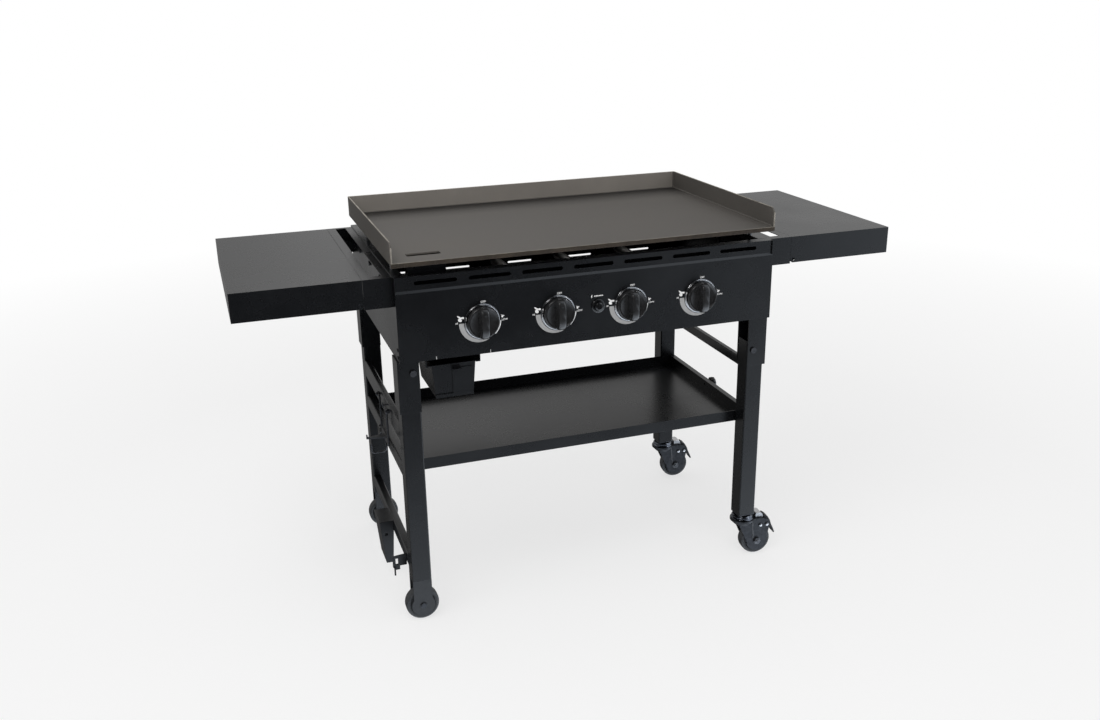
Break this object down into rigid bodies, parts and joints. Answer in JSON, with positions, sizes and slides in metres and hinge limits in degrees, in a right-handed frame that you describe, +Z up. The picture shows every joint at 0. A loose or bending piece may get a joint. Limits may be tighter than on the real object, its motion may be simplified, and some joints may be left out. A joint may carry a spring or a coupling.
{
  "type": "outdoor gas griddle station",
  "caption": "Wheeled outdoor gas griddle: steel cooking plate on a burner box with turning knobs, fold-down side shelves, a bottom shelf, grease tray and bottle hanger.",
  "frame": {"origin": "centre of the footprint at ground level, with every joint at rest", "axes": "+X to the cook's right, +Y away from the cook, +Z up"},
  "size_m": [1.58, 0.606, 0.929],
  "materials": {
    "griddle_steel": "seasoned rolled steel",
    "zinc_steel": "zinc plated",
    "black_sheet": "satin powder coat",
    "caster_steel": "black plated",
    "stainless": "satin",
    "pipe_steel": "satin",
    "brass": "machined",
    "knob_plastic": "gloss",
    "bezel_chrome": "polished",
    "ceramic": "glazed",
    "lead_rubber": "matt",
    "wheel_rubber": "matt",
    "pedal_plastic": "satin"
  },
  "bodies": {
    "station": {"bottle_rest": "black_sheet", "bottom_shelf": "black_sheet", "bracket_bolts": "zinc_steel", "burner_rest": "zinc_steel", "burners": "stainless", "caster_plates": "caster_steel", "control_panel": "black_sheet", "electrodes": "ceramic", "firebox_body": "black_sheet", "fixed_axles": "zinc_steel", "fixed_forks": "black_sheet", "gas_inlet": "brass", "gas_valves": "brass", "grease_chute": "black_sheet", "grease_runners": "black_sheet", "hanger_mounts": "black_sheet", "heat_shield": "zinc_steel", "igniter_body": "knob_plastic", "ignition_leads": "lead_rubber", "knob_bezels": "bezel_chrome", "leg_bolts": "zinc_steel", "leg_front_left": "black_sheet", "leg_front_right": "black_sheet", "leg_rear_left": "black_sheet", "leg_rear_right": "black_sheet", "leg_sockets": "black_sheet", "lower_rail": "black_sheet", "manifold": "pipe_steel", "panel_screws": "zinc_steel", "shelf_bracket_left": "black_sheet", "shelf_bracket_right": "black_sheet", "shelf_hinge_pins": "zinc_steel", "shelf_rails": "black_sheet", "shelf_thumbscrews": "knob_plastic", "strap_bracket": "black_sheet", "upper_rails": "black_sheet", "vent_rail": "black_sheet"},
    "griddle": {"griddle_plate": "griddle_steel", "griddle_feet": "zinc_steel"},
    "igniter_key": {"igniter_button": "knob_plastic"},
    "left_front_wheel": {"wheel_front_left": "wheel_rubber"},
    "left_rear_wheel": {"wheel_rear_left": "wheel_rubber"},
    "right_front_swivel": {"fork_front_right": "caster_steel"},
    "right_front_wheel": {"wheel_front_right": "wheel_rubber"},
    "right_front_pedal": {"brake_pedal_front_right": "pedal_plastic"},
    "right_rear_swivel": {"fork_rear_right": "caster_steel"},
    "right_rear_wheel": {"wheel_rear_right": "wheel_rubber"},
    "right_rear_pedal": {"brake_pedal_rear_right": "pedal_plastic"},
    "left_shelf": {"shelf_left": "black_sheet"},
    "right_shelf": {"shelf_right": "black_sheet"},
    "grease_drawer": {"grease_tray": "black_sheet"},
    "bottle_hanger": {"gas_bottle_hanger": "black_sheet"},
    "stem_1": {"valve_stem_1": "brass"},
    "knob_1": {"knob_1": "knob_plastic"},
    "stem_2": {"valve_stem_2": "brass"},
    "knob_2": {"knob_2": "knob_plastic"},
    "stem_3": {"valve_stem_3": "brass"},
    "knob_3": {"knob_3": "knob_plastic"},
    "stem_4": {"valve_stem_4": "brass"},
    "knob_4": {"knob_4": "knob_plastic"}
  },
  "joints": [
    {"name": "griddle_lift", "type": "slide", "parent": "station", "child": "griddle", "axis": [0, 0, 1], "range_m": [0, 0.15]},
    {"name": "knob_1_turn", "type": "hinge", "parent": "station", "child": "stem_1", "pos_m": [-0.26475, -0.269, 0.737], "axis": [0, -1, 0], "range_deg": [0, 270]},
    {"name": "knob_1_push", "type": "slide", "parent": "stem_1", "child": "knob_1", "axis": [0, 1, 0], "range_m": [0, 0.003], "stiffness_N_per_m": 900, "springref_m": -0.004},
    {"name": "knob_2_turn", "type": "hinge", "parent": "station", "child": "stem_2", "pos_m": [-0.08825, -0.269, 0.737], "axis": [0, -1, 0], "range_deg": [0, 270]},
    {"name": "knob_2_push", "type": "slide", "parent": "stem_2", "child": "knob_2", "axis": [0, 1, 0], "range_m": [0, 0.003], "stiffness_N_per_m": 900, "springref_m": -0.004},
    {"name": "knob_3_turn", "type": "hinge", "parent": "station", "child": "stem_3", "pos_m": [0.08825, -0.269, 0.737], "axis": [0, -1, 0], "range_deg": [0, 270]},
    {"name": "knob_3_push", "type": "slide", "parent": "stem_3", "child": "knob_3", "axis": [0, 1, 0], "range_m": [0, 0.003], "stiffness_N_per_m": 900, "springref_m": -0.004},
    {"name": "knob_4_turn", "type": "hinge", "parent": "station", "child": "stem_4", "pos_m": [0.26475, -0.269, 0.737], "axis": [0, -1, 0], "range_deg": [0, 270]},
    {"name": "knob_4_push", "type": "slide", "parent": "stem_4", "child": "knob_4", "axis": [0, 1, 0], "range_m": [0, 0.003], "stiffness_N_per_m": 900, "springref_m": -0.004},
    {"name": "igniter_press", "type": "slide", "parent": "station", "child": "igniter_key", "axis": [0, 1, 0], "range_m": [0, 0.004], "stiffness_N_per_m": 600, "springref_m": -0.003},
    {"name": "left_front_wheel_spin", "type": "hinge", "parent": "station", "child": "left_front_wheel", "pos_m": [-0.43, -0.2265, 0.04], "axis": [0, 1, 0], "continuous": true},
    {"name": "left_rear_wheel_spin", "type": "hinge", "parent": "station", "child": "left_rear_wheel", "pos_m": [-0.43, 0.2705, 0.04], "axis": [0, 1, 0], "continuous": true},
    {"name": "right_front_swivel_turn", "type": "hinge", "parent": "station", "child": "right_front_swivel", "pos_m": [0.43, -0.2265, 0.099], "axis": [0, 0, 1], "continuous": true},
    {"name": "right_front_wheel_spin", "type": "hinge", "parent": "right_front_swivel", "child": "right_front_wheel", "pos_m": [0.46487, -0.22955, 0.04], "axis": [0.0872, 0.9962, 0], "continuous": true},
    {"name": "right_front_brake", "type": "hinge", "parent": "right_front_swivel", "child": "right_front_pedal", "pos_m": [0.49176, -0.2319, 0.0845], "axis": [0.0872, 0.9962, 0], "range_deg": [0, 15]},
    {"name": "right_rear_swivel_turn", "type": "hinge", "parent": "station", "child": "right_rear_swivel", "pos_m": [0.43, 0.2705, 0.099], "axis": [0, 0, 1], "continuous": true},
    {"name": "right_rear_wheel_spin", "type": "hinge", "parent": "right_rear_swivel", "child": "right_rear_wheel", "pos_m": [0.46487, 0.26745, 0.04], "axis": [0.0872, 0.9962, 0], "continuous": true},
    {"name": "right_rear_brake", "type": "hinge", "parent": "right_rear_swivel", "child": "right_rear_pedal", "pos_m": [0.49176, 0.2651, 0.0845], "axis": [0.0872, 0.9962, 0], "range_deg": [0, 15]},
    {"name": "left_shelf_fold", "type": "hinge", "parent": "station", "child": "left_shelf", "pos_m": [-0.5245, 0.022, 0.794], "axis": [0, -1, 0], "range_deg": [0, 90]},
    {"name": "right_shelf_fold", "type": "hinge", "parent": "station", "child": "right_shelf", "pos_m": [0.5245, 0.022, 0.794], "axis": [0, 1, 0], "range_deg": [0, 90]},
    {"name": "grease_tray_pull", "type": "slide", "parent": "station", "child": "grease_drawer", "axis": [0, -1, 0], "range_m": [0, 0.15]},
    {"name": "bottle_hanger_swing", "type": "hinge", "parent": "station", "child": "bottle_hanger", "pos_m": [-0.4595, -0.0445, 0.49], "axis": [0, 1, 0], "range_deg": [0, 75]}
  ]
}
